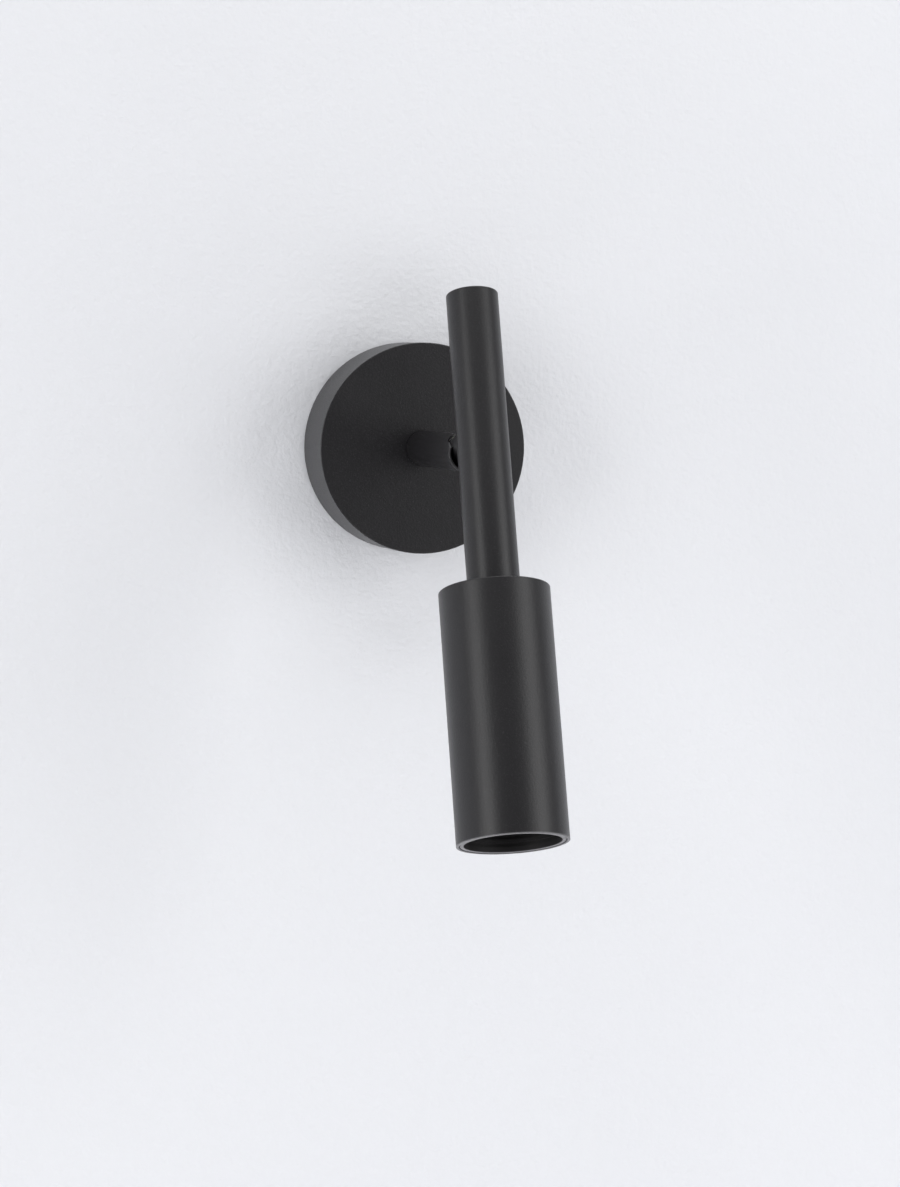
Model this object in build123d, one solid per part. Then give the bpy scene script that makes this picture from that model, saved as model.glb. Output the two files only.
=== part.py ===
from build123d import *
from math import cos, radians, sin, sqrt
import os

# Pivoting spotlight wall light. Millimetres, +Z up. The origin is the centre of the wall plane,
# y = 0 is the wall, and the light stands out of it towards -Y. The arm leans in the YZ plane.

# ---- driving dimensions -------------------------------------------------------------------
# Canopy, the round cup on the wall
canopy_diameter = 120.0
canopy_front = 41.5            # from the wall to the face
wall_gap = 1.5                 # shadow gap between the wall and the canopy's edge
canopy_wall = 2.0
canopy_face = 3.0
canopy_edge_round = 0.6
canopy_screw_setback = 8.5     # grub screws, from the wall
grub_diameter = 4.0
grub_in_lug = 4.0
grub_recess = 0.4
grub_socket = 2.0              # hexagon across flats, and its depth

# Mounting plate on the wall
plate_clearance = 1.5          # plate to the canopy's inside
plate_thickness = 2.0
slot_spacing = 60.0
slot_length = 14.0
slot_width = 5.0
lug_width = 14.0
lug_depth = 11.0               # along the radius
lug_height = 13.0              # out from the plate
lug_clearance = 1.8            # lug to the canopy's inside
grommet_bore = 8.0
grommet_wall = 2.6
grommet_flange = 2.0
grommet_lip = 1.6
earth_place = 24.0             # to the right of the stem's axis, and above it
earth_diameter = 4.0
earth_head_diameter = 7.2
earth_head_height = 2.4
earth_washer_diameter = 8.8
earth_washer_thickness = 0.8
earth_washer_notches = 8
earth_notch_diameter = 1.0

# Stem and its swivel in the canopy
stem_diameter = 20.5
stem_length = 87.8             # canopy face to the cup's lower rim
cup_wall = 1.2
cup_bevel_start = 2.7          # the cut back starts this far above the stem's axis
cup_bevel_rise = 2.15          # length cut back for each millimetre of height
pivot_from_canopy = 75.0       # tilt axis, out from the canopy's face
nipple_diameter = 10.0
nipple_bore = 6.0
nipple_in_stem = 14.0
swivel_washer = 0.8
swivel_play = 0.05
inner_washer = 1.0
stop_washer = 1.5
wave_washer = 1.2
inner_washer_diameter = 18.0
wave_washer_diameter = 16.4
face_washer_inset = 1.0        # washer to the stem's edge
nut_thickness = 5.0
nut_flats = 14.0
nipple_proud = 2.0
post_diameter = 1.6
post_radius_out = 11.4         # stop post from the stem's axis
post_depth = 1.6
post_proud = 0.3               # beyond the stop washer
tab_width = 1.8

# Ball joint
ball_play = 0.3                # ball to cup and seat
neck_diameter = 16.0
neck_reach = 42.5              # tilt axis to the arm's axis
neck_root_round = 0.25
neck_play = 0.35               # neck to the sides of its slot
slot_end_ahead = 4.8           # centre of the slot's round end, ahead of the tilt axis
cup_rim_round = 1.0
pin_diameter = 5.0
pin_play = 0.08
pin_inner = 4.6                # the stub pins' inner ends, from the middle
pin_end_play = 0.2
seat_length = 9.0
seat_front = 6.0               # seat's front, behind the ball's centre
seat_play = 0.1
spring_count = 4
spring_sheet = 0.9
spring_dish = 0.7
spring_gap = 0.03
spring_play = 0.3              # springs to the stem's bore
spring_bore_play = 1.0
groove_low = -10.0             # the lead's slot in the ball, degrees round the tilt axis
groove_high = 84.0
stud_diameter = 8.0
stud_bore = 5.2
stud_end = 2.8                 # the stud's tip, from the arm's axis
neck_nut_thickness = 5.0
neck_nut_flats = 12.0
neck_washer_flat = 9.0         # from the arm's axis to the washer's flat side
neck_washer_diameter = 14.0

# Arm
arm_diameter = 28.2
arm_wall = 1.6
arm_above = 76.0               # neck to the arm's top
arm_below = 89.7               # neck to the head
arm_edge_round = 0.8
cap_thickness = 2.5
cap_inset = 0.1
plug_length = 12.0

# Head
head_diameter = 59.3
head_length = 135.7
head_wall = 1.5
head_top = 4.0
head_edge_round = 0.6
mouth_edge_round = 0.3
sleeve_wall = 1.9
sleeve_length = 40.0
sleeve_groove = 0.5            # dark ring between shell and sleeve
sleeve_setback = 0.3
sleeve_collar = 8.0
baffle_rings = 8
baffle_pitch = 4.0
baffle_depth = 0.8
head_washer = 1.2
head_washer_diameter = 17.0
head_nut_thickness = 4.0
head_nipple_proud = 1.5

# Lamp and its holder
bracket_span = 38.0
bracket_width = 16.0
bracket_sheet = 1.5
bracket_drop = 20.0
foot_past_screw = 3.5          # bracket foot, beyond its screw
holder_diameter = 30.0
holder_height = 13.0
holder_screw_spacing = 24.0
holder_screw_diameter = 3.0
holder_screw_bite = 8.0        # into the lampholder
holder_screw_end_play = 1.0
holder_head_diameter = 5.2
holder_head_height = 1.9
holder_pin_play = 0.3
lamp_play = 0.75               # lamp to the mouth's bore
lamp_seat_gap = 0.3            # lamp to its holder
lamp_length = 54.0
lamp_base_diameter = 25.0
lamp_base_height = 13.0
lamp_skirt = 6.0
lamp_sheet = 1.5
lamp_lens_thickness = 2.0
lamp_lens_inset = 0.6
lamp_pin_spacing = 10.0
lamp_pin_diameter = 4.6
lamp_pin_length = 7.0
lamp_pin_neck = 3.2
lamp_pin_head = 2.5

# Wiring inside
lead_diameter = 4.6
lead_end_gap = 0.3
lead_ball_gap = 1.2
lead_bend = 9.0                # behind the stem
neck_lead_set = 4.6            # the lead's run down the arm, off the arm's axis
neck_lead_bend = 7.0
step_start = 34.0              # where that run swings to the axis, below the neck
step_end = 66.0
step_bend = 40.0
block_length = 30.0
block_depth = 14.0
block_height = 17.0
block_from_axis = 26.0         # below the stem's axis
pole_pitch = 10.0
barrel_diameter = 5.0
barrel_bore = 3.0
barrel_setback = 6.5           # barrel's axis, from the block's face
barrel_end_inset = 1.0
block_edge_round = 1.5
block_screw_diameter = 3.0
block_head_diameter = 3.8
block_head_sink = 2.5
block_head_inset = 0.4
terminal_screw_diameter = 2.6
terminal_screw_rise = 4.0      # above and below the barrel's middle
terminal_screw_inset = 0.8

# Small fits
press_gap = 0.05               # fixed pieces that slide together
screw_gap = 0.1
seam = 0.02                    # faces that meet in one body
tip_inset = 0.2                # screw tips, short of the wall
screw_tip_gap = 0.4            # a clamping screw's tip to the barrel's axis
driver_slot = 0.5
driver_slot_depth = 0.7
cut_past = 1.0                 # how far a cut runs past the face that it opens

# How far the arm leans in the photographed pose
lean = 19.35

# ---- sizes that follow ---------------------------------------------------------------------
canopy_radius = canopy_diameter / 2
canopy_inside = canopy_radius - canopy_wall
plate_radius = canopy_inside - plate_clearance
lug_top = canopy_inside - lug_clearance
grub_radius = grub_diameter / 2
grommet_seat = grommet_bore / 2 + grommet_wall
earth_radius = earth_diameter / 2
earth_seat_y = -plate_thickness - earth_washer_thickness
block_face_y = -plate_thickness - block_depth
block_screw_radius = block_screw_diameter / 2
block_head_radius = block_head_diameter / 2
block_screw_places = (-pole_pitch / 2, pole_pitch / 2)
poles = (-pole_pitch, 0.0, pole_pitch)
terminal_screw_radius = terminal_screw_diameter / 2
terminal_screw_heights = (-terminal_screw_rise, terminal_screw_rise)
nipple_radius = nipple_diameter / 2
stud_radius = stud_diameter / 2
pin_radius = pin_diameter / 2
stem_radius = stem_diameter / 2
cup_radius = stem_radius - cup_wall
ball_radius = cup_radius - ball_play
neck_radius = neck_diameter / 2
arm_radius = arm_diameter / 2
arm_inside = arm_radius - arm_wall
head_radius = head_diameter / 2
head_inside = head_radius - head_wall
mouth_radius = head_inside - sleeve_groove - sleeve_wall
lamp_radius = mouth_radius - lamp_play
lead_radius = lead_diameter / 2
face_y = -canopy_front
stem_rear_y = face_y - swivel_washer - swivel_play
pivot_y = face_y - pivot_from_canopy
rim_y = face_y - stem_length
seat_front_y = pivot_y + seat_front
seat_rear_y = seat_front_y + seat_length
spring_length = spring_count * (spring_sheet + spring_dish + spring_gap)
cup_floor_y = seat_rear_y + spring_length
inner_face_y = face_y + canopy_face
stop_rear_y = inner_face_y + inner_washer + swivel_play
wave_rear_y = stop_rear_y + stop_washer
nut_rear_y = wave_rear_y + wave_washer
nipple_rear_y = nut_rear_y + nut_thickness + nipple_proud
head_top_z = -arm_below
mouth_z = head_top_z - head_length
bracket_z = head_top_z - head_top
head_washer_z = bracket_z - bracket_sheet - head_washer
head_nut_z = head_washer_z - head_nut_thickness
holder_screw_radius = holder_screw_diameter / 2
holder_top_z = bracket_z - bracket_drop - bracket_sheet
lamp_top_z = holder_top_z - holder_height - lamp_seat_gap
lamp_face_z = lamp_top_z - lamp_length


def cylinder_y(radius, y_start, y_end, x=0.0, z=0.0):
    """A round bar along Y between two y values."""
    middle = (y_start + y_end) / 2
    return Pos(x, middle, z) * Rot(90, 0, 0) * Cylinder(radius, abs(y_end - y_start))


def cylinder_z(radius, z_start, z_end, x=0.0, y=0.0):
    """A round bar along Z between two z values."""
    return Pos(x, y, (z_start + z_end) / 2) * Cylinder(radius, abs(z_end - z_start))


def cylinder_x(radius, x_start, x_end, y=0.0, z=0.0):
    """A round bar along X between two x values."""
    middle = (x_start + x_end) / 2
    return Pos(middle, y, z) * Rot(0, 90, 0) * Cylinder(radius, abs(x_end - x_start))


def block(x_range, y_range, z_range):
    """A rectangular block between three pairs of values."""
    size = [abs(high - low) for low, high in (x_range, y_range, z_range)]
    middle = [(high + low) / 2 for low, high in (x_range, y_range, z_range)]
    return Pos(*middle) * Box(*size)


def hexagon_y(flats, bore_radius, y_start, y_end):
    """A hexagon nut along Y."""
    sketch = RegularPolygon(flats / 2, 6, major_radius=False)
    bar = extrude(sketch, abs(y_end - y_start))
    bar = Pos(0, max(y_start, y_end), 0) * Rot(90, 0, 0) * bar
    return bar - cylinder_y(bore_radius, y_start - cut_past, y_end + cut_past)


def round_edge(solid, radius, axis, level):
    """Rounds the outermost circular edge that lies at one level along an axis."""
    edges = solid.edges().filter_by(GeomType.CIRCLE)
    at_level = [e for e in edges if abs(getattr(e.center(), axis) - level) < 1e-4]
    return fillet(max(at_level, key=lambda e: e.radius), radius)


def lean_arm(solid):
    """Carries a piece from the upright arm frame to its place on the tilt axis."""
    return Pos(0, pivot_y, 0) * Rot(-lean, 0, 0) * solid


def on_arm_axis(solid):
    """Moves a piece that was drawn about Z onto the arm's axis, then leans it."""
    return lean_arm(Pos(0, -neck_reach, 0) * solid)


# ---- wall side ------------------------------------------------------------------------------
def mounting_plate():
    """Steel disc with two wall slots, a cable hole and two lugs for the canopy's screws."""
    plate = cylinder_y(plate_radius, -plate_thickness, 0)
    for side in (-1, 1):
        centre = side * slot_spacing / 2
        straight = (slot_length - slot_width) / 2
        plate -= block((centre - straight, centre + straight), (-plate_thickness - cut_past, cut_past),
                       (-slot_width / 2, slot_width / 2))
        for end in (-straight, straight):
            plate -= cylinder_y(slot_width / 2, -plate_thickness - cut_past, cut_past, x=centre + end)
        lug = block((-lug_width / 2, lug_width / 2), (-plate_thickness - lug_height, -plate_thickness),
                    (side * (lug_top - lug_depth), side * lug_top))
        plate += lug
        plate -= cylinder_z(grub_radius + press_gap, side * (lug_top - grub_in_lug),
                            side * (lug_top + cut_past), y=-canopy_screw_setback)
    plate -= cylinder_y(grommet_seat, -plate_thickness - cut_past, cut_past)
    plate -= cylinder_y(earth_radius, -plate_thickness - cut_past, cut_past, x=earth_place, z=earth_place)
    for x in block_screw_places:
        plate -= cylinder_y(block_screw_radius, -plate_thickness - cut_past, cut_past,
                            x=x, z=-block_from_axis)
    return plate


def cable_grommet():
    """Rubber bush in the plate's cable hole; the supply comes through it."""
    front = -plate_thickness - grommet_flange
    sleeve = cylinder_y(grommet_seat - seam, -plate_thickness, 0)
    flange = cylinder_y(grommet_seat + grommet_lip, front, -plate_thickness)
    return sleeve + flange - cylinder_y(grommet_bore / 2, front - cut_past, cut_past)


def canopy():
    """Turned cup with a hole for the stem's nipple and a grub screw hole above and below."""
    cup = cylinder_y(canopy_radius, face_y, -wall_gap)
    cup = round_edge(cup, canopy_edge_round, "Y", face_y)
    cup -= cylinder_y(canopy_inside, inner_face_y, 0)
    cup -= cylinder_y(nipple_radius + screw_gap, face_y - cut_past, inner_face_y + cut_past)
    for side in (-1, 1):
        cup -= cylinder_z(grub_radius + press_gap, side * (canopy_inside - cut_past),
                          side * (canopy_radius + cut_past), y=-canopy_screw_setback)
    cup -= cylinder_y(post_diameter / 2, inner_face_y - post_depth, inner_face_y + cut_past,
                      z=post_radius_out)
    return cup


def canopy_grub_screws():
    """Two socket grub screws that hold the canopy on the plate's lugs."""
    screws = []
    for side in (-1, 1):
        outer = canopy_radius - grub_recess
        inner = lug_top - grub_in_lug + press_gap
        screw = cylinder_z(grub_radius, side * inner, side * outer, y=-canopy_screw_setback)
        socket = extrude(RegularPolygon(grub_socket / 2, 6, major_radius=False), grub_socket)
        turned = Rot(0 if side > 0 else 180, 0, 0) * Pos(0, 0, outer - grub_socket) * socket
        screws.append(screw - Pos(0, -canopy_screw_setback, 0) * turned)
    return Compound(children=screws)


def stop_post():
    """Pin in the canopy that the stem's stop tab meets at either end of its turn."""
    return cylinder_y(post_diameter / 2 - seam, inner_face_y - post_depth,
                      wave_rear_y + post_proud, z=post_radius_out)


def ring_y(outer, inner, y_start, y_end):
    """A flat ring about Y."""
    return cylinder_y(outer, y_start, y_end) - cylinder_y(inner, y_start - cut_past, y_end + cut_past)


def face_washer():
    """Nylon washer between the stem and the canopy's face."""
    return ring_y(stem_radius - face_washer_inset, nipple_radius + screw_gap, face_y - swivel_washer, face_y)


def inside_washer():
    """Nylon washer on the canopy's inside face."""
    return ring_y(inner_washer_diameter / 2, nipple_radius + screw_gap, inner_face_y,
                  inner_face_y + inner_washer)


def terminal_block():
    """Three-pole connector block."""
    z_mid = -block_from_axis
    front = block_face_y - cut_past
    body = block((-block_length / 2, block_length / 2), (block_face_y, -plate_thickness),
                 (z_mid - block_height / 2, z_mid + block_height / 2))
    body = fillet(body.edges().filter_by(Axis.Y), block_edge_round)
    for x in poles:
        body -= cylinder_z(barrel_diameter / 2 + press_gap, z_mid - block_height, z_mid + block_height,
                           x=x, y=block_face_y + barrel_setback)
        for z in terminal_screw_heights:
            body -= cylinder_y(terminal_screw_radius + press_gap, front, block_face_y + barrel_setback,
                               x=x, z=z_mid + z)
    for x in block_screw_places:
        body -= cylinder_y(block_screw_radius + press_gap, front, 0, x=x, z=z_mid)
        body -= cylinder_y(block_head_radius + press_gap, front, block_face_y + block_head_sink,
                           x=x, z=z_mid)
    return body


def terminal_barrels():
    """Brass tubes inside the block that clamp the wires."""
    barrels = []
    y = block_face_y + barrel_setback
    half = block_height / 2 - barrel_end_inset
    low, high = -block_from_axis - half, -block_from_axis + half
    for x in poles:
        barrel = cylinder_z(barrel_diameter / 2, low, high, x=x, y=y)
        barrel -= cylinder_z(barrel_bore / 2, low - cut_past, high + cut_past, x=x, y=y)
        for z in terminal_screw_heights:
            barrel -= cylinder_y(terminal_screw_radius + press_gap, y - barrel_diameter, y, x=x,
                                 z=-block_from_axis + z)
        barrels.append(barrel)
    return Compound(children=barrels)


def slotted_screw(radius, y_head, y_tip, x, z):
    """A headless slotted screw along Y, its slot at y_head."""
    screw = cylinder_y(radius, y_head, y_tip, x=x, z=z)
    return screw - block((x - driver_slot / 2, x + driver_slot / 2),
                         (y_head - cut_past, y_head + driver_slot_depth),
                         (z - radius - cut_past, z + radius + cut_past))


def terminal_screws():
    """Six brass screws, two for each pole."""
    head, tip = block_face_y + terminal_screw_inset, block_face_y + barrel_setback - screw_tip_gap
    return Compound(children=[slotted_screw(terminal_screw_radius, head, tip, x, -block_from_axis + z)
                              for x in poles for z in terminal_screw_heights])


def block_screws():
    """Two screws that hold the connector block on the plate."""
    screws = []
    y_head, y_seat = block_face_y + block_head_inset, block_face_y + block_head_sink
    for x in block_screw_places:
        shank = cylinder_y(block_screw_radius - seam, y_seat, -tip_inset, x=x, z=-block_from_axis)
        head = slotted_screw(block_head_radius, y_head, y_seat, x, -block_from_axis)
        screws.append(shank + head)
    return Compound(children=screws)


def earth_screw():
    """Earthing screw of the metal body."""
    shank = cylinder_y(earth_radius - seam, earth_seat_y, -tip_inset, x=earth_place, z=earth_place)
    head = slotted_screw(earth_head_diameter / 2, earth_seat_y - earth_head_height, earth_seat_y,
                         earth_place, earth_place)
    return shank + head


def earth_washer():
    """Toothed washer under the earthing screw."""
    radius, front = earth_washer_diameter / 2, earth_seat_y - cut_past
    washer = cylinder_y(radius, earth_seat_y, -plate_thickness, x=earth_place, z=earth_place)
    for notch in range(earth_washer_notches):
        angle = radians(notch * 360 / earth_washer_notches)
        washer -= cylinder_y(earth_notch_diameter / 2, front, 0, x=earth_place + radius * cos(angle),
                             z=earth_place + radius * sin(angle))
    return washer - cylinder_y(earth_radius + press_gap, front, 0, x=earth_place, z=earth_place)


def canopy_lead():
    """Two-core lead from the connector block to the back of the stem's nipple."""
    start = Vector(0, block_face_y + barrel_setback, -block_from_axis + block_height / 2 + lead_end_gap)
    corner = Vector(0, start.Y, 0)
    end = Vector(0, nipple_rear_y + lead_end_gap, 0)
    path = FilletPolyline(start, corner, end, radius=lead_bend)
    return sweep(Plane(start, z_dir=(0, 0, 1)) * Circle(lead_radius), path)


# ---- stem -----------------------------------------------------------------------------------
def stem():
    """Turned bar with a cup for the ball; the cup's upper half is cut back and slotted for the neck."""
    bar = cylinder_y(stem_radius, rim_y, stem_rear_y)
    bar = round_edge(bar, cup_rim_round, "Y", rim_y)
    bar -= cylinder_y(cup_radius, rim_y - cut_past, cup_floor_y)
    bar -= cylinder_y(nipple_bore / 2, rim_y, stem_rear_y + cut_past)
    bar -= cylinder_y(nipple_radius + seam, stem_rear_y - nipple_in_stem, stem_rear_y + cut_past)
    reach = stem_diameter
    bevel = Polygon((rim_y - cut_past, cup_bevel_start), (rim_y, cup_bevel_start),
                    (rim_y + cup_bevel_rise * reach, cup_bevel_start + reach),
                    (rim_y - cut_past, cup_bevel_start + reach), align=None)
    bar -= extrude(Plane(origin=(-reach, 0, 0), x_dir=(0, 1, 0), z_dir=(1, 0, 0)) * bevel, 2 * reach)
    slot_half = neck_radius + neck_play
    slot_y = pivot_y - slot_end_ahead
    bar -= cylinder_z(slot_half, 0, reach, y=slot_y)
    bar -= block((-slot_half, slot_half), (rim_y - cut_past, slot_y), (0, reach))
    for side in (-1, 1):
        bar -= cylinder_x(pin_radius, side * (cup_radius - cut_past), side * (stem_radius + cut_past),
                          y=pivot_y)
    return bar


def stem_nipple():
    """Hollow threaded tube that fixes the stem to the canopy and passes the lead."""
    return ring_y(nipple_radius, nipple_bore / 2, stem_rear_y - nipple_in_stem + seam, nipple_rear_y)


def swivel_stop_washer():
    """Steel washer keyed to the nipple; its tab meets the canopy's post."""
    disc = cylinder_y(inner_washer_diameter / 2, stop_rear_y, wave_rear_y)
    tab = block((-tab_width / 2, tab_width / 2), (stop_rear_y, wave_rear_y),
                (-post_radius_out - post_diameter / 2, 0))
    return disc + tab - cylinder_y(nipple_radius + seam, stop_rear_y - cut_past, wave_rear_y + cut_past)


def swivel_wave_washer():
    """Spring washer that gives the swivel its drag."""
    return ring_y(wave_washer_diameter / 2, nipple_radius + seam, wave_rear_y, nut_rear_y)


def stem_nut():
    """Hexagon nut on the nipple inside the canopy."""
    return hexagon_y(nut_flats, nipple_radius + seam, nut_rear_y, nut_rear_y + nut_thickness)


def ball_seat():
    """Nylon seat pressed against the ball's back."""
    ring = ring_y(cup_radius - seat_play, nipple_bore / 2, seat_front_y, seat_rear_y)
    return ring - Pos(0, pivot_y, 0) * Sphere(ball_radius + ball_play)


def disc_springs():
    """Stack of dished spring washers behind the seat, set face to face in turn."""
    springs = []
    inner, outer = nipple_bore / 2 + spring_bore_play, cup_radius - spring_play
    for place in range(spring_count):
        start = seat_rear_y + spring_gap + place * (spring_sheet + spring_dish + spring_gap)
        at_inner, at_outer = (0.0, spring_dish) if place % 2 else (spring_dish, 0.0)
        outline = Polygon((inner, start + at_inner), (outer, start + at_outer),
                          (outer, start + at_outer + spring_sheet), (inner, start + at_inner + spring_sheet),
                          align=None)
        springs.append(revolve(outline, Axis.Y))
    return Compound(children=springs)


def pivot_pins():
    """Two stub pins through the cup's sides that carry the ball; flush outside."""
    pins = []
    for side in (-1, 1):
        pin = cylinder_x(pin_radius - seam, side * pin_inner, side * (stem_radius + cut_past), y=pivot_y)
        pins.append(pin & cylinder_y(stem_radius - seam, pivot_y - pin_diameter, pivot_y + pin_diameter))
    return Compound(children=pins)


def stem_lead():
    """Lead inside the nipple and the stem, up to the ball."""
    return cylinder_y(lead_radius, pivot_y + ball_radius + lead_ball_gap, nipple_rear_y - lead_end_gap)


# ---- arm ------------------------------------------------------------------------------------
def ball_and_neck():
    """Turned ball and neck, hollow for the lead, with a threaded stud into the arm."""
    ball = Sphere(ball_radius)
    neck = cylinder_y(neck_radius, -neck_reach, 0)
    root = sqrt(ball_radius ** 2 - neck_radius ** 2)
    flare = Polygon((0, 0), (neck_radius + neck_root_round, 0),
                    (neck_radius + neck_root_round, -root + neck_root_round),
                    (neck_radius, -root - neck_root_round), (0, -root - neck_root_round), align=None)
    body = ball + neck + (revolve(flare, Axis.Y) & Sphere(cup_radius))
    body -= Pos(0, -neck_reach, 0) * Cylinder(arm_radius + seam, 4 * arm_radius)
    body += cylinder_y(stud_radius, -neck_reach + stud_end, -neck_reach + arm_radius + neck_radius)
    body -= cylinder_y(stud_bore / 2, -neck_reach, ball_radius + cut_past)
    body -= lead_groove()
    for side in (-1, 1):
        body -= cylinder_x(pin_radius + pin_play, side * (pin_inner - pin_end_play),
                           side * (ball_radius + cut_past))
    return lean_arm(body)


def lead_groove():
    """Slot in the ball's back that lets the lead follow while the ball tilts."""
    reach = 2 * ball_radius
    turns = [radians(turn) for turn in (groove_low, (groove_low + groove_high) / 2, groove_high)]
    wedge = Polygon((0, 0), *[(reach * cos(turn), reach * sin(turn)) for turn in turns], align=None)
    plane = Plane(origin=(-stud_bore / 2, 0, 0), x_dir=(0, 1, 0), z_dir=(1, 0, 0))
    return extrude(plane * wedge, stud_bore)


def neck_washer():
    """Saddle washer inside the arm, curved to the tube."""
    washer = Rot(90, 0, 0) * Cylinder(neck_washer_diameter / 2, 2 * arm_radius)
    washer &= Cylinder(arm_inside - seam, 2 * neck_washer_diameter)
    washer -= block((-arm_radius, arm_radius), (-2 * arm_radius, neck_washer_flat),
                    (-arm_radius, arm_radius))
    washer -= cylinder_y(stud_radius + press_gap, 0, 2 * arm_radius)
    return on_arm_axis(washer)


def neck_nut():
    """Nut on the neck's stud inside the arm."""
    return on_arm_axis(hexagon_y(neck_nut_flats, stud_radius + seam, neck_washer_flat - neck_nut_thickness,
                                 neck_washer_flat))


def arm_tube():
    """Straight tube, open at both ends, with one hole for the neck's stud."""
    tube = round_edge(cylinder_z(arm_radius, -arm_below, arm_above), arm_edge_round, "Z", arm_above)
    tube -= cylinder_z(arm_inside, -arm_below - cut_past, arm_above + cut_past)
    tube -= cylinder_y(stud_radius + press_gap, 0, 2 * arm_radius)
    return on_arm_axis(tube)


def arm_cap():
    """Disc that closes the arm's top."""
    return on_arm_axis(cylinder_z(arm_inside - press_gap, arm_above - cap_thickness, arm_above - cap_inset))


def arm_end_plug():
    """Threaded plug in the arm's lower end."""
    top = -arm_below + plug_length
    plug = cylinder_z(arm_inside - press_gap, -arm_below + seam, top)
    return on_arm_axis(plug - cylinder_z(nipple_radius + seam, -arm_below - cut_past, top + cut_past))


def head_nipple():
    """Hollow threaded tube that ties head and arm together."""
    low, high = head_nut_z - head_nipple_proud, -arm_below + plug_length - cut_past
    return on_arm_axis(cylinder_z(nipple_radius, low, high)
                       - cylinder_z(nipple_bore / 2, low - cut_past, high + cut_past))


# ---- head -----------------------------------------------------------------------------------
def head_shell():
    """Turned cylinder, closed above and open below."""
    shell = round_edge(cylinder_z(head_radius, mouth_z, head_top_z), head_edge_round, "Z", head_top_z)
    shell = round_edge(shell, mouth_edge_round, "Z", mouth_z)
    shell -= cylinder_z(head_inside, mouth_z - cut_past, bracket_z)
    shell -= cylinder_z(nipple_radius + screw_gap, bracket_z - cut_past, head_top_z + cut_past)
    return on_arm_axis(shell)


def baffle_sleeve():
    """Glare baffle pushed into the mouth: a collar holds it, and its inside is ribbed."""
    low = mouth_z + sleeve_setback
    high = low + sleeve_length
    sleeve = cylinder_z(head_inside - sleeve_groove, low, high)
    sleeve += cylinder_z(head_inside - press_gap, high - sleeve_collar, high)
    sleeve -= cylinder_z(mouth_radius, low - cut_past, high + cut_past)
    for ring in range(baffle_rings):
        level = low + (ring + 1) * baffle_pitch
        sleeve -= cylinder_z(mouth_radius + baffle_depth, level - baffle_pitch / 4, level + baffle_pitch / 4)
    return on_arm_axis(sleeve)


def head_lock_washer():
    """Washer under the head's nut."""
    return on_arm_axis(cylinder_z(head_washer_diameter / 2, head_washer_z, head_washer_z + head_washer)
                       - cylinder_z(nipple_radius + seam, head_washer_z - cut_past, bracket_z))


def head_nut():
    """Nut that clamps bracket and head to the arm."""
    bar = Pos(0, 0, head_nut_z) * extrude(RegularPolygon(nut_flats / 2, 6, major_radius=False),
                                          head_nut_thickness)
    return on_arm_axis(bar - cylinder_z(nipple_radius + seam, head_nut_z - cut_past, bracket_z))


def holder_bracket():
    """Bent steel strap that hangs the lampholder under the head's top."""
    half, wide = bracket_span / 2, bracket_width / 2
    low = bracket_z - bracket_drop
    strap = block((-half, half), (-wide, wide), (bracket_z - bracket_sheet, bracket_z))
    for side in (-1, 1):
        strap += block((side * (half - bracket_sheet), side * half), (-wide, wide), (low, bracket_z))
        strap += block((side * (holder_screw_spacing / 2 - foot_past_screw), side * half), (-wide, wide),
                       (low - bracket_sheet, low))
        strap -= cylinder_z(holder_screw_radius + press_gap, low - bracket_sheet - cut_past, low + cut_past,
                            x=side * holder_screw_spacing / 2)
    strap -= cylinder_z(nipple_radius + screw_gap, head_washer_z, bracket_z + cut_past)
    return on_arm_axis(strap)


def lampholder():
    """Ceramic twist-lock holder for a two-pin reflector lamp."""
    low = holder_top_z - holder_height
    body = cylinder_z(holder_diameter / 2, low, holder_top_z - seam)
    for side in (-1, 1):
        x = side * lamp_pin_spacing / 2
        body -= cylinder_z(lamp_pin_diameter / 2 + holder_pin_play, low - cut_past,
                           low + lamp_pin_length + holder_pin_play, x=x)
        body -= cylinder_z(holder_screw_radius + seam,
                           holder_top_z - holder_screw_bite - holder_screw_end_play,
                           holder_top_z + cut_past, x=side * holder_screw_spacing / 2)
    return on_arm_axis(body)


def holder_screws():
    """Two screws through the bracket's feet into the lampholder."""
    screws = []
    foot = bracket_z - bracket_drop
    for side in (-1, 1):
        x = side * holder_screw_spacing / 2
        shank = cylinder_z(holder_screw_radius, holder_top_z - holder_screw_bite, foot, x=x)
        head = cylinder_z(holder_head_diameter / 2, foot, foot + holder_head_height, x=x)
        head -= block((x - holder_head_diameter, x + holder_head_diameter),
                      (-driver_slot / 2, driver_slot / 2),
                      (foot + holder_head_height - driver_slot_depth, foot + holder_head_height + cut_past))
        screws.append(shank + head)
    return on_arm_axis(Compound(children=screws))


def lamp_base():
    """Ceramic base of the reflector lamp."""
    return on_arm_axis(cylinder_z(lamp_base_diameter / 2, lamp_top_z - lamp_base_height, lamp_top_z))


def lamp_pins():
    """The lamp's two contact pins."""
    pins = []
    for side in (-1, 1):
        x = side * lamp_pin_spacing / 2
        step, tip = lamp_top_z + lamp_pin_length - lamp_pin_head, lamp_top_z + lamp_pin_length
        pins.append(cylinder_z(lamp_pin_neck / 2, lamp_top_z, step, x=x)
                    + cylinder_z(lamp_pin_diameter / 2, step, tip, x=x))
    return on_arm_axis(Compound(children=pins))


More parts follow.
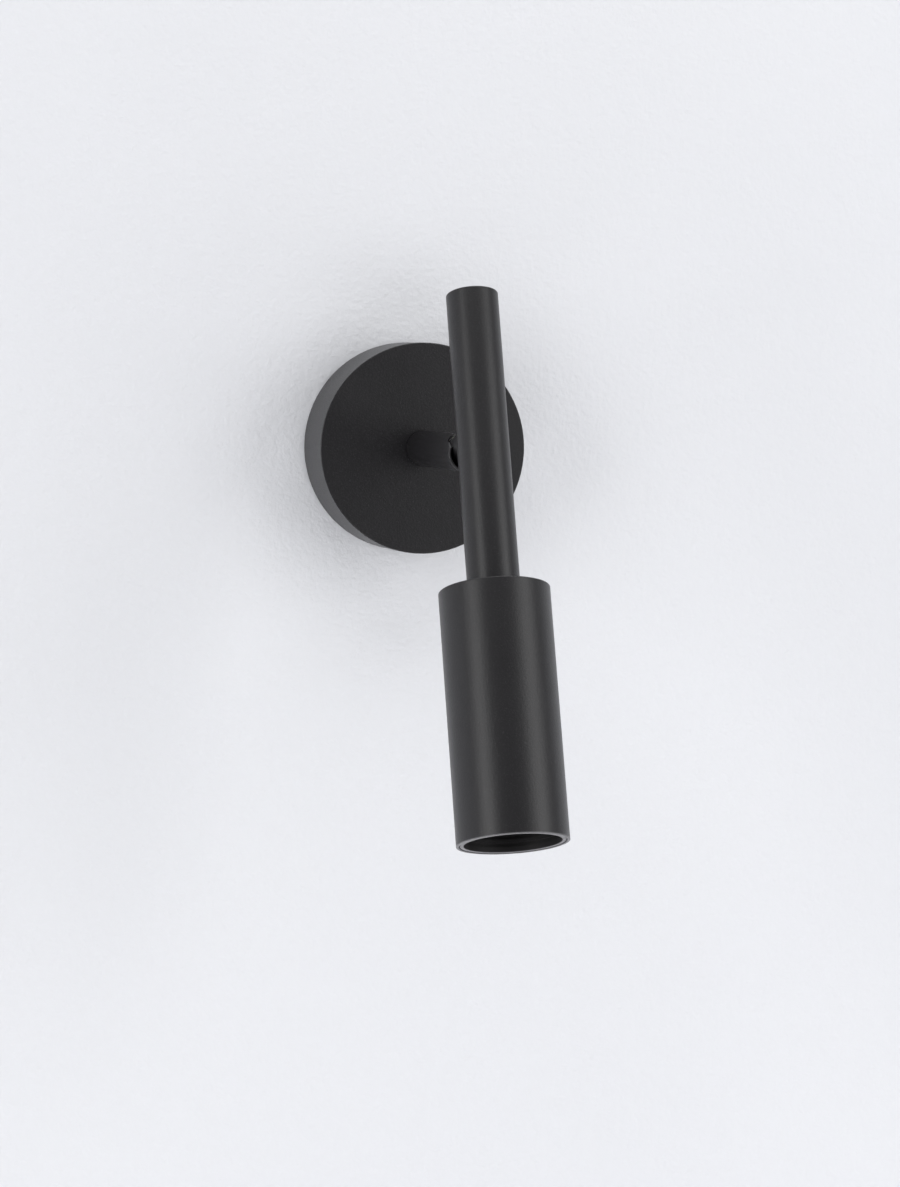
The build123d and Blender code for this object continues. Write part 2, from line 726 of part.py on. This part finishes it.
def lamp_reflector():
    """Bell of the reflector lamp."""
    top = lamp_top_z - lamp_base_height
    skirt_top = lamp_face_z + lamp_skirt
    neck = lamp_base_diameter / 2
    inner, inner_neck = lamp_radius - lamp_sheet, neck - lamp_sheet
    profile = make_face(Polyline((0, top), (neck, top), (lamp_radius, skirt_top), (lamp_radius, lamp_face_z),
                                 (inner, lamp_face_z), (inner, skirt_top), (inner_neck, top - lamp_sheet),
                                 (0, top - lamp_sheet), (0, top)))
    return on_arm_axis(revolve(Plane.XZ * profile, Axis.Z))


def lamp_lens():
    """Front glass of the lamp, set into the bell's skirt."""
    low = lamp_face_z + lamp_lens_inset
    return on_arm_axis(cylinder_z(lamp_radius - lamp_sheet - press_gap, low, low + lamp_lens_thickness))


def arm_lead():
    """Lead from the neck down the arm to the lampholder."""
    start = (0, -neck_root_round - ball_radius, 0)
    run_y = -neck_reach - neck_lead_set
    points = [start, (0, run_y, 0), (0, run_y, -step_start), (0, -neck_reach, -step_end),
              (0, -neck_reach, holder_top_z + lead_end_gap)]
    path = FilletPolyline(*points, radius=[neck_lead_bend, step_bend, step_bend])
    return lean_arm(sweep(Plane(start, z_dir=(0, -1, 0)) * Circle(lead_radius), path))


makers = [
    mounting_plate, cable_grommet, canopy, canopy_grub_screws, stop_post, face_washer, inside_washer,
    terminal_block, terminal_barrels, terminal_screws, block_screws, earth_screw, earth_washer,
    canopy_lead, stem, stem_nipple, swivel_stop_washer, swivel_wave_washer, stem_nut, ball_seat,
    disc_springs, pivot_pins, stem_lead, ball_and_neck, neck_washer, neck_nut, arm_tube, arm_cap,
    arm_end_plug, head_nipple, head_shell, baffle_sleeve, head_lock_washer, head_nut, holder_bracket,
    lampholder, holder_screws, lamp_base, lamp_pins, lamp_reflector, lamp_lens, arm_lead,
]

os.makedirs("parts", exist_ok=True)
for maker in makers:
    export_step(maker(), f"parts/{maker.__name__}.step")
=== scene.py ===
import math

import bmesh
import bpy
from mathutils import Matrix, Vector


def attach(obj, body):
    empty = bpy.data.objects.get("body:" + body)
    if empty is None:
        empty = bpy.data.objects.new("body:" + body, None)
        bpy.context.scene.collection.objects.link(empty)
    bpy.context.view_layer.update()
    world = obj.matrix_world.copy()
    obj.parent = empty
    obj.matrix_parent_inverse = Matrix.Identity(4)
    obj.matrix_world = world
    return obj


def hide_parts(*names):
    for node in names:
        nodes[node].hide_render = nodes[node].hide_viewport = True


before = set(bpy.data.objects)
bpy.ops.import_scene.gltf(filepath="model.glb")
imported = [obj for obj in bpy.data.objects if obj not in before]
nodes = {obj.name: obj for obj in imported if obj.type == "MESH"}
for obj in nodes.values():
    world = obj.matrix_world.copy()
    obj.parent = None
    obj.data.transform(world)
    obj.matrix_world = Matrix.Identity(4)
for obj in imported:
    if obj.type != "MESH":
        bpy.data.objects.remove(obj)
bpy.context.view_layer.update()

# ---- Camera ----------------------------------------------------------------------------------
# The photographer stood a little to the light's left and almost level with the stem, and
# used a long lens. The frame leans by a degree and a third.
camera_right = Vector((0.960907, -0.275870, 0.023504))
camera_up = Vector((-0.003621, 0.072364, 0.997372))
camera_forward = Vector((0.276846, 0.958467, -0.068537))
camera = bpy.data.objects.new("camera", bpy.data.cameras.new("camera"))
camera.data.sensor_width = 36.0
camera.data.lens = 99.53
camera.data.clip_end = 50.0
turned = Matrix((camera_right, camera_up, -camera_forward)).transposed().to_4x4()
camera.matrix_world = Matrix.Translation((-0.50142, -1.83863, 0.04592)) @ turned
bpy.context.scene.collection.objects.link(camera)
bpy.context.scene.camera = camera
bpy.context.scene.view_settings.view_transform = "Standard"


# ---- Wall, floor and studio light ------------------------------------------------------------
# A plastered wall in cool white paint with the fine pebbled skin that a roller leaves, and a
# plain floor far below. The wall has a round hole behind the mounting plate and lets a camera
# behind it look through, so that the back of the light can be seen.
class Wire:
    """One socket in a material. Sums of wires and numbers add Math nodes."""

    def __init__(self, tree, socket=None):
        self.tree, self.socket = tree, socket

    def node(self, kind, settings=None, sockets=None, out=0):
        """Adds a node of this kind: its settings first, then values or wires for its sockets."""
        made = self.tree.nodes.new(kind)
        for name, value in (settings or {}).items():
            if name == "stops":
                ramp = made.color_ramp
                while len(ramp.elements) < len(value):
                    ramp.elements.new(0.5)
                for element, (place, colour) in zip(ramp.elements, value):
                    element.position, element.color = place, (*colour, 1.0)
            else:
                setattr(made, name, value)
        for name, value in (sockets or {}).items():
            if isinstance(value, Wire):
                self.tree.links.new(value.socket, made.inputs[name])
            else:
                made.inputs[name].default_value = value
        return Wire(self.tree, made.outputs[out])

    def math(self, operation, other=None, swap=False, clamp=False):
        pair = (other, self) if swap else (self, other)
        values = {place: value for place, value in enumerate(pair) if value is not None}
        return self.node("ShaderNodeMath", {"operation": operation, "use_clamp": clamp}, values)

    def __add__(self, other):
        return self.math("ADD", other)

    def __sub__(self, other):
        return self.math("SUBTRACT", other)

    def __rsub__(self, other):
        return self.math("SUBTRACT", other, swap=True)

    def __mul__(self, other):
        return self.math("MULTIPLY", other)

    def __truediv__(self, other):
        return self.math("DIVIDE", other)

    __radd__ = __add__
    __rmul__ = __mul__

    def band(self, low, high):
        """0 below low, 1 above high, and a soft step between."""
        return self.node("ShaderNodeMapRange", {"interpolation_type": "SMOOTHSTEP"},
                         {"Value": self, "From Min": low, "From Max": high})

    def blend(self, first, second):
        """The first colour where this wire is 0, the second where it is 1."""
        return self.node("ShaderNodeMix", {"data_type": "RGBA"}, {0: self, 6: first, 7: second},
                         out=2)

    def noise(self, scale, detail=2.0, roughness=0.5, stretch=None):
        """Cloudy noise on the piece's own coordinates; scale is in patches a metre."""
        place = self.node("ShaderNodeTexCoord", out=3)
        if stretch:
            place = self.node("ShaderNodeMapping", None, {"Vector": place, "Scale": stretch})
        return self.node("ShaderNodeTexNoise", None, {"Vector": place, "Scale": scale,
                                                      "Detail": detail, "Roughness": roughness})

    def bump(self, distance, strength=1.0, below=None):
        """Raises the surface by this wire's height times the distance in metres."""
        sockets = {"Height": self, "Distance": distance, "Strength": strength}
        if below:
            sockets["Normal"] = below
        return self.node("ShaderNodeBump", None, sockets)


def rgb(red, green, blue):
    """A colour read off in the usual 0 to 255 screen values, made linear."""
    linear = [((v / 255 + 0.055) / 1.055) ** 2.4 if v > 10 else v / 255 / 12.92
              for v in (red, green, blue)]
    return (*linear, 1.0)


def finish(name, build, **fixed):
    """A Principled material: build gives the wires that change over the surface, fixed the rest."""
    material = bpy.data.materials.new(name)
    material.use_nodes = True
    tree = material.node_tree
    shader = tree.nodes["Principled BSDF"]
    for socket, value in fixed.items():
        shader.inputs[socket.replace("_", " ")].default_value = value
    for socket, wire in build(Wire(tree)).items():
        tree.links.new(wire.socket, shader.inputs[socket])
    return material


def plaster(start):
    pebbles = start.noise(260.0, 3.0, 0.55)
    waves = start.noise(38.0, 2.0, 0.5)
    skin = pebbles.bump(0.0011, 0.55, below=waves.bump(0.004, 0.12))
    tint = start.noise(2.2, 2.0).blend(rgb(217, 218, 222), rgb(223, 224, 227))
    return {"Base Color": tint, "Normal": skin}


wall_paint = finish("wall_paint", plaster, Roughness=0.7)
tree = wall_paint.node_tree
start = Wire(tree)
back_face = start.node("ShaderNodeNewGeometry", out=6)
camera_ray = start.node("ShaderNodeLightPath", out=0)
painted = Wire(tree, tree.nodes["Principled BSDF"].outputs[0])
clear = start.node("ShaderNodeBsdfTransparent")
shown = start.node("ShaderNodeMixShader", None, {0: back_face * camera_ray, 1: painted, 2: clear})
tree.links.new(shown.socket, tree.nodes["Material Output"].inputs["Surface"])

wall_half, wall_foot, hole_radius, hole_sides = 3.0, -1.5, 0.0545, 96
sheet = bmesh.new()
hole, rim = [], []
for side in range(hole_sides):
    across = math.sin(2 * math.pi * side / hole_sides)
    up = math.cos(2 * math.pi * side / hole_sides)
    hole.append(sheet.verts.new((hole_radius * across, 0.0, hole_radius * up)))
    rim.append(sheet.verts.new((wall_half * across, 0.0, max(wall_foot, wall_half * up))))
for side in range(hole_sides):
    after = (side + 1) % hole_sides
    sheet.faces.new((hole[side], rim[side], rim[after], hole[after]))
bmesh.ops.recalc_face_normals(sheet, faces=sheet.faces)
wall_mesh = bpy.data.meshes.new("wall")
sheet.to_mesh(wall_mesh)
sheet.free()
if wall_mesh.polygons[0].normal.y > 0:
    wall_mesh.flip_normals()
wall = bpy.data.objects.new("wall", wall_mesh)
wall_mesh.materials.append(wall_paint)
bpy.context.scene.collection.objects.link(wall)


def screed(start):
    return {"Base Color": start.noise(3.0, 3.0).blend(rgb(226, 226, 229), rgb(232, 232, 235))}


floor_half, floor_front, floor_back = 4.0, -6.0, 0.5
floor_mesh = bpy.data.meshes.new("floor")
floor_mesh.from_pydata([(-floor_half, floor_front, wall_foot), (floor_half, floor_front, wall_foot),
                        (floor_half, floor_back, wall_foot), (-floor_half, floor_back, wall_foot)],
                       [], [(0, 1, 2, 3)])
floor_mesh.materials.append(finish("floor_paint", screed, Roughness=0.8))
floor = bpy.data.objects.new("floor", floor_mesh)
bpy.context.scene.collection.objects.link(floor)

# Four large soft boxes stand beside, over and under the light and graze it, and the room behind
# the photographer is dim, so that what faces the camera stays darkest.
soft_boxes = (("softbox_left", (-1.9, -1.0, 0.1), (0.9, 2.2), 23.0),
              ("softbox_right", (1.75, -1.65, 0.35), (1.4, 2.4), 31.0),
              ("softbox_over", (0.0, -1.0, 2.2), (2.8, 1.2), 34.0),
              ("softbox_under", (0.0, -0.9, -1.45), (2.4, 1.0), 16.0))
for name, place, size, power in soft_boxes:
    lamp = bpy.data.lights.new(name, "AREA")
    lamp.shape, lamp.energy = "RECTANGLE", power
    lamp.size, lamp.size_y = size
    holder = bpy.data.objects.new(name, lamp)
    holder.location = place
    holder.rotation_euler = (-Vector(place)).to_track_quat("-Z", "Y").to_euler()
    holder.visible_camera = False
    bpy.context.scene.collection.objects.link(holder)
world = bpy.data.worlds.new("room")
world.use_nodes = True
world.node_tree.nodes["Background"].inputs["Color"].default_value = (0.95, 0.955, 0.975, 1.0)
world.node_tree.nodes["Background"].inputs["Strength"].default_value = 0.24
bpy.context.scene.world = world


# ---- Mounting plate --------------------------------------------------------------------------
# A steel disc with two slots for the wall screws and two lugs that the canopy is screwed to.
# It is electro-galvanised, so it is a cloudy grey white with a faint spangle.
def galvanised(start):
    cloud = start.noise(55.0, 3.0, 0.6)
    spangle = start.noise(420.0, 1.0).band(0.52, 0.68)
    rolled = start.noise(1300.0, 2.0, 0.5, stretch=(1.0, 1.0, 0.1))
    tint = cloud.blend(rgb(168, 171, 174), rgb(196, 199, 202))
    tint = (spangle * 0.45).blend(tint, rgb(208, 208, 198))
    rough = 0.36 + 0.18 * (cloud - 0.5) + 0.08 * (rolled - 0.5)
    return {"Base Color": tint, "Roughness": rough, "Normal": rolled.bump(0.00004, 0.4)}


def dress(material, *names):
    """Puts this material on all faces of these pieces."""
    for name in names:
        slots = nodes[name].data.materials
        for place in range(len(slots)):
            slots[place] = material


sheet_zinc = finish("sheet_zinc", galvanised, Metallic=1.0)
dress(sheet_zinc, "mounting_plate")


# ---- Cable grommet ---------------------------------------------------------------------------
# A moulded rubber ring pushed into the plate's centre hole, where the supply cable comes in.
# It is black with a dull grey bloom.
def rubber(start):
    bloom = start.noise(160.0, 3.0, 0.6)
    grain = start.noise(1700.0, 2.0, 0.5)
    return {"Base Color": bloom.blend(rgb(24, 24, 25), rgb(40, 40, 40)),
            "Roughness": 0.68 + 0.16 * (bloom - 0.5), "Normal": grain.bump(0.00008, 0.35)}


dress(finish("grommet_rubber", rubber, Specular_IOR_Level=0.35), "cable_grommet")


# ---- Terminal block and earth screw ----------------------------------------------------------
# A white polyamide block with brass barrels and clamp screws, held to the plate by two zinc
# screws, and a brass earth screw with its toothed washer.
def polyamide(start):
    flow = start.noise(70.0, 2.0, 0.5)
    spark = start.noise(2200.0, 2.0, 0.6)
    return {"Base Color": flow.blend(rgb(214, 214, 206), rgb(226, 226, 220)),
            "Roughness": 0.46 + 0.12 * (spark - 0.5), "Normal": spark.bump(0.00005, 0.3)}


def cut_brass(start):
    tarnish = start.noise(130.0, 3.0, 0.6)
    tool = start.noise(2600.0, 1.0, 0.5, stretch=(1.0, 0.15, 1.0))
    tint = tarnish.band(0.35, 0.75).blend(rgb(205, 172, 98), rgb(168, 132, 70))
    return {"Base Color": tint, "Roughness": 0.24 + 0.2 * (tarnish - 0.4),
            "Normal": tool.bump(0.00003, 0.4)}


def turned(start):
    cloud = start.noise(240.0, 2.0, 0.5)
    tool = start.noise(3000.0, 1.0, 0.5, stretch=(1.0, 0.2, 1.0))
    tint = cloud.blend(rgb(182, 185, 190), rgb(208, 210, 212))
    return {"Base Color": tint, "Roughness": 0.27 + 0.16 * (cloud - 0.5),
            "Normal": tool.bump(0.00003, 0.4)}


block_plastic = finish("block_plastic", polyamide, Specular_IOR_Level=0.5)
brass = finish("brass", cut_brass, Metallic=1.0)
turned_zinc = finish("turned_zinc", turned, Metallic=1.0)
dress(block_plastic, "terminal_block")
dress(brass, "terminal_barrels", "terminal_screws", "earth_screw")
dress(turned_zinc, "block_screws", "earth_washer")


# ---- Canopy ----------------------------------------------------------------------------------
# A deep round cover turned from aluminium, its edge barely rounded, with a matt black powder coat
# that dries to a fine sandy skin. Two blackened grub screws in its rim clamp it to the plate.
def powder(start):
    grain = start.noise(2600.0, 2.0, 0.6)
    skin = start.noise(900.0, 2.0, 0.5)
    cloud = start.noise(24.0, 3.0, 0.6)
    speck = start.noise(1500.0, 1.0).band(0.56, 0.74)
    tint = cloud.blend(rgb(24, 23, 25), rgb(27, 26, 28))
    tint = (speck * 0.35).blend(tint, rgb(52, 52, 53))
    rough = 0.37 + 0.10 * (grain - 0.5) + 0.06 * (cloud - 0.5)
    return {"Base Color": tint, "Roughness": rough,
            "Normal": grain.bump(0.00012, 0.35, below=skin.bump(0.0003, 0.25))}


def blackened(start):
    oil = start.noise(320.0, 3.0, 0.6)
    return {"Base Color": oil.blend(rgb(26, 26, 28), rgb(44, 44, 46)),
            "Roughness": 0.36 + 0.2 * (oil - 0.5), "Normal": oil.bump(0.00003, 0.3)}


black_coat = finish("black_coat", powder, Specular_IOR_Level=0.42)
dress(black_coat, "canopy")
dress(finish("blackened_steel", blackened, Metallic=0.85), "canopy_grub_screws")


# ---- Swivel at the wall ----------------------------------------------------------------------
# A hollow threaded tube carries the stem through the canopy between two nylon washers, the outer
# one black. A wave washer and a nut keep it tight, and a tongue on the stop washer meets a post in
# the canopy.
def nylon(start):
    cloud = start.noise(120.0, 2.0, 0.5)
    grain = start.noise(2000.0, 2.0, 0.5)
    return {"Base Color": cloud.blend(rgb(222, 221, 211), rgb(232, 231, 224)),
            "Roughness": 0.44 + 0.12 * (grain - 0.5), "Normal": grain.bump(0.00004, 0.3)}


def black_nylon(start):
    wires = nylon(start)
    wires["Base Color"] = start.noise(120.0, 2.0, 0.5).blend(rgb(26, 26, 27), rgb(34, 34, 35))
    return wires


slide_nylon = finish("slide_nylon", nylon, Subsurface_Weight=0.08, Subsurface_Scale=0.002)
dress(finish("black_nylon", black_nylon), "face_washer")
dress(slide_nylon, "inside_washer")
dress(turned_zinc, "stem_nipple", "stem_nut", "stop_post")
dress(sheet_zinc, "swivel_stop_washer", "swivel_wave_washer")

# ---- Stem ------------------------------------------------------------------------------------
# A turned aluminium bar with the canopy's coat. Its free end is bored out to a cup, rounded at
# the rim, and cut back and slotted above so that the neck can rise.
dress(black_coat, "stem")

# ---- Ball joint ------------------------------------------------------------------------------
# The ball and its thick neck are one turning. Disc springs press a nylon seat on the ball, and
# two pins let it nod but not turn. The pins end flush and are coated over with the stem.
dress(slide_nylon, "ball_seat")
dress(sheet_zinc, "disc_springs", "neck_washer")
dress(turned_zinc, "neck_nut")
dress(black_coat, "ball_and_neck", "pivot_pins")

# ---- Arm -------------------------------------------------------------------------------------
# A thick tube, open below, where the head's threaded tube screws into a steel plug. A flat cap
# closes its top with a hairline joint.
dress(black_coat, "arm_tube", "arm_cap")
dress(turned_zinc, "arm_end_plug", "head_nipple")


# ---- Lamp head -------------------------------------------------------------------------------
# A turned cylinder, closed above and open below. Its sharp lip is painted a lighter grey as a
# painted highlight, for the light that the lip catches from below.
# A toothed washer and a nut hold it on the threaded tube.
head_axis = (0.0, 0.33133, 0.94351)
mouth_at = -0.2640


def along_head(start):
    """How far along the head's axis a point is, in metres; the mouth is lowest, at mouth_at."""
    place = start.node("ShaderNodeTexCoord", out=3)
    return start.node("ShaderNodeVectorMath", {"operation": "DOT_PRODUCT"},
                      {0: place, 1: head_axis}, out=1)


def lip_highlighted(start):
    wires = powder(start)
    # Painted highlight: the last half millimetre above the mouth is blended towards a lighter grey,
    # standing in for the light the lip catches from below.
    lip = 1.0 - along_head(start).band(mouth_at + 0.0003, mouth_at + 0.0007)
    wires["Base Color"] = (lip * 0.9).blend(wires["Base Color"], rgb(104, 103, 105))
    return wires


dress(finish("black_coat_lip_highlight", lip_highlighted, Specular_IOR_Level=0.42), "head_shell")
dress(sheet_zinc, "head_lock_washer")
dress(turned_zinc, "head_nut")


# ---- Glare baffle ----------------------------------------------------------------------------
# An aluminium sleeve pressed into the mouth, with eight turned grooves inside, dyed black. A fine
# dark gap parts it from the shell. Its end face is painted a lighter grey ring as a painted
# highlight, for the light it catches from below.
def dyed_with_face_highlight(start):
    tool = start.noise(1900.0, 2.0, 0.5)
    cloud = start.noise(90.0, 2.0, 0.5)
    # Painted highlight: the sleeve's end face at the mouth is blended towards a lighter grey,
    # standing in for the light it catches from below.
    face = 1.0 - along_head(start).band(mouth_at + 0.0004, mouth_at + 0.0007)
    tint = cloud.blend(rgb(29, 28, 29), rgb(36, 35, 36))
    return {"Base Color": (face * 0.9).blend(tint, rgb(124, 123, 125)),
            "Roughness": 0.5 + 0.14 * (tool - 0.5), "Normal": tool.bump(0.00005, 0.3)}


dress(finish("dyed_sleeve_face_highlight", dyed_with_face_highlight, Specular_IOR_Level=0.4), "baffle_sleeve")


# ---- Lampholder and its bracket --------------------------------------------------------------
# A steatite two-pin holder, fixed by two screws to a folded steel bracket. The bracket hangs from
# the head's top, clamped by the head's nut.
def steatite(start):
    cloud = start.noise(110.0, 3.0, 0.6)
    pore = start.noise(1500.0, 1.0).band(0.62, 0.74)
    tint = cloud.blend(rgb(222, 217, 204), rgb(234, 230, 219))
    tint = (pore * 0.5).blend(tint, rgb(188, 181, 166))
    return {"Base Color": tint, "Roughness": 0.52 + 0.16 * (cloud - 0.5),
            "Normal": (1.0 - pore).bump(0.00008, 0.4)}


holder_steatite = finish("holder_steatite", steatite, Specular_IOR_Level=0.5)
dress(sheet_zinc, "holder_bracket")
dress(holder_steatite, "lampholder", "lamp_base")
dress(turned_zinc, "holder_screws")


# ---- Lamp bell and its facets ----------------------------------------------------------------
# The reflector of a 50 mm two-pin lamp: a pressed bell, silvered inside with rows of small domed
# facets that spread the beam. The rows are offset by half a facet, as in a brick wall.
def silvered(start):
    haze = start.noise(140.0, 2.0, 0.5)
    return {"Base Color": haze.blend(rgb(206, 208, 212), rgb(226, 227, 229)),
            "Roughness": 0.10 + 0.10 * haze, "Normal": haze.bump(0.00004, 0.2)}


silver = finish("silver", silvered, Metallic=1.0)
dress(silver, "lamp_reflector")
dress(brass, "lamp_pins")

lean, pivot_out, neck_reach = math.radians(19.35), 0.1165, 0.0425
arm_place = (Matrix.Translation((0.0, -pivot_out, 0.0)) @ Matrix.Rotation(-lean, 4, "X")
             @ Matrix.Translation((0.0, -neck_reach, 0.0)))


def grown(name, sizes, build, material):
    """A plain mesh from a node tree with these named sizes; build returns its last wire."""
    tree = bpy.data.node_groups.new(name, "GeometryNodeTree")
    for size in sizes:
        tree.interface.new_socket(size, in_out="INPUT", socket_type="NodeSocketFloat")
    tree.interface.new_socket("Geometry", in_out="OUTPUT", socket_type="NodeSocketGeometry")
    entry = tree.nodes.new("NodeGroupInput")
    made = build(Wire(tree), {size: Wire(tree, entry.outputs[size]) for size in sizes})
    made = made.node("GeometryNodeRealizeInstances", None, {"Geometry": made})
    made = made.node("GeometryNodeSetMaterial", None, {"Geometry": made, "Material": material})
    tree.links.new(made.socket, tree.nodes.new("NodeGroupOutput").inputs[0])
    blank = bpy.data.objects.new(name, bpy.data.meshes.new(name + "_blank"))
    bpy.context.scene.collection.objects.link(blank)
    modifier = blank.modifiers.new("tree", "NODES")
    modifier.node_group = tree
    for item in tree.interface.items_tree:
        if item.in_out == "INPUT":
            modifier[item.identifier] = sizes[item.name]
    depsgraph = bpy.context.evaluated_depsgraph_get()
    mesh = bpy.data.meshes.new_from_object(blank.evaluated_get(depsgraph))
    blank.modifiers.remove(modifier)
    blank.data = mesh
    mesh.transform(arm_place)
    return blank


def facet_rows(start, size):
    """Domes half sunk into a cone, row by row, each a little larger than its share of its row."""
    turn, overlap = 2.0 * math.pi, 0.56
    place = start.node("GeometryNodeInputIndex")
    row = ((place + 0.5) / size["columns"]).math("FLOOR")
    column = place - row * size["columns"]
    up = (row + 0.5) / size["rows"]
    angle = (column + 0.5 * row.math("MODULO", 2.0)) / size["columns"] * turn
    rise, run = size["high"] - size["low"], size["high_radius"] - size["low_radius"]
    radius = size["low_radius"] + up * run
    spot = start.node("ShaderNodeCombineXYZ", None,
                      {0: radius * angle.math("COSINE"), 1: radius * angle.math("SINE"),
                       2: size["low"] + up * rise})
    points = start.node("GeometryNodePoints", None, {"Count": size["rows"] * size["columns"],
                                                     "Position": spot})
    dome = start.node("GeometryNodeMeshUVSphere", None, {"Segments": 8, "Rings": 5, "Radius": 1.0})
    slope = (rise * rise + run * run).math("SQRT")
    tip = (0.0 - rise).math("ARCTAN2", run)
    facing = start.node("ShaderNodeCombineXYZ", None, {1: tip, 2: angle})
    share = start.node("ShaderNodeCombineXYZ", None,
                       {0: slope / size["rows"] * overlap,
                        1: radius / size["columns"] * (overlap * turn), 2: size["depth"]})
    return start.node("GeometryNodeInstanceOnPoints", None, {"Points": points, "Instance": dome,
                                                             "Rotation": facing, "Scale": share})


facets = grown("mirror_facets", {"rows": 10.0, "columns": 30.0, "low": -0.1758, "high": -0.1438,
                                 "low_radius": 0.02325, "high_radius": 0.0113, "depth": 0.00045},
               facet_rows, silver)
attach(facets, "arm_body")


# ---- Lamp front glass ------------------------------------------------------------------------
# A disc of clear pressed glass in the bell's mouth, plain at the back, its front pressed into a
# honeycomb of shallow domes that blur the beam's edge.
def pressed(start):
    haze = start.noise(60.0, 2.0, 0.5)
    return {"Base Color": haze.blend(rgb(240, 244, 244), rgb(248, 250, 250)),
            "Roughness": 0.03 + 0.05 * haze}


glass_radius, glass_low, glass_high = 0.02345, -0.1819, -0.1799
dome_pitch, dome_rise, dome_reach = 0.0036, 0.00035, 0.58
glass_rings, glass_sides = 44, 144
row_height = dome_pitch * math.sqrt(0.75)


def sunk(x, y):
    """How far the front lies behind the domes' tops, from the nearest dome's middle."""
    nearest = dome_pitch
    below = math.floor(y / row_height)
    for row in (below, below + 1):
        shift = 0.5 * dome_pitch * (row % 2)
        middle = round((x - shift) / dome_pitch) * dome_pitch + shift
        nearest = min(nearest, math.hypot(x - middle, y - row * row_height))
    return dome_rise * min(1.0, (nearest / (dome_reach * dome_pitch)) ** 2)


disc = bmesh.new()
front_middle = disc.verts.new((0.0, 0.0, glass_low))
back_middle = disc.verts.new((0.0, 0.0, glass_high))
loops = []
for ring in range(1, glass_rings + 1):
    radius = glass_radius * ring / glass_rings
    loop = []
    for side in range(glass_sides):
        x = radius * math.cos(2 * math.pi * side / glass_sides)
        y = radius * math.sin(2 * math.pi * side / glass_sides)
        loop.append(disc.verts.new((x, y, glass_low + sunk(x, y))))
    loops.append(loop)
edge = loops[-1]
back = [disc.verts.new((vert.co.x, vert.co.y, glass_high)) for vert in edge]
for side in range(glass_sides):
    after = (side + 1) % glass_sides
    disc.faces.new((front_middle, loops[0][after], loops[0][side]))
    for inner, outer in zip(loops, loops[1:]):
        disc.faces.new((inner[side], inner[after], outer[after], outer[side]))
    disc.faces.new((edge[side], edge[after], back[after], back[side]))
    disc.faces.new((back[side], back[after], back_middle))
bmesh.ops.recalc_face_normals(disc, faces=disc.faces)
glass_mesh = bpy.data.meshes.new("front_glass")
disc.to_mesh(glass_mesh)
disc.free()
glass_mesh.transform(arm_place)
glass_mesh.materials.append(finish("pressed_glass", pressed, Transmission_Weight=1.0, IOR=1.5))
beam = arm_place.to_3x3().col[2]
glass_mesh.polygons.foreach_set("use_smooth", [abs(face.normal.dot(beam)) > 0.5
                                               for face in glass_mesh.polygons])
front_glass = bpy.data.objects.new("front_glass", glass_mesh)
bpy.context.scene.collection.objects.link(front_glass)
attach(front_glass, "arm_body")
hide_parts("lamp_lens")


# ---- Leads -----------------------------------------------------------------------------------
# Thin heat-proof leads with a braided grey-white glass-fibre sheath run from the terminal block
# through the hollow stem, neck and arm to the lampholder.
def braided(start):
    place = start.node("ShaderNodeTexCoord", out=3)
    strand = start.node("ShaderNodeTexWave", {"bands_direction": "DIAGONAL"},
                        {"Vector": place, "Scale": 420.0, "Distortion": 1.5}, out=1)
    soil = start.noise(150.0, 2.0, 0.5)
    tint = soil.blend(rgb(200, 199, 194), rgb(218, 217, 212))
    return {"Base Color": (strand * 0.35).blend(tint, rgb(172, 171, 166)),
            "Roughness": 0.72 + 0.12 * (soil - 0.5), "Normal": strand.bump(0.0001, 0.5)}


dress(finish("lead_braid", braided, Specular_IOR_Level=0.3), "canopy_lead", "stem_lead", "arm_lead")
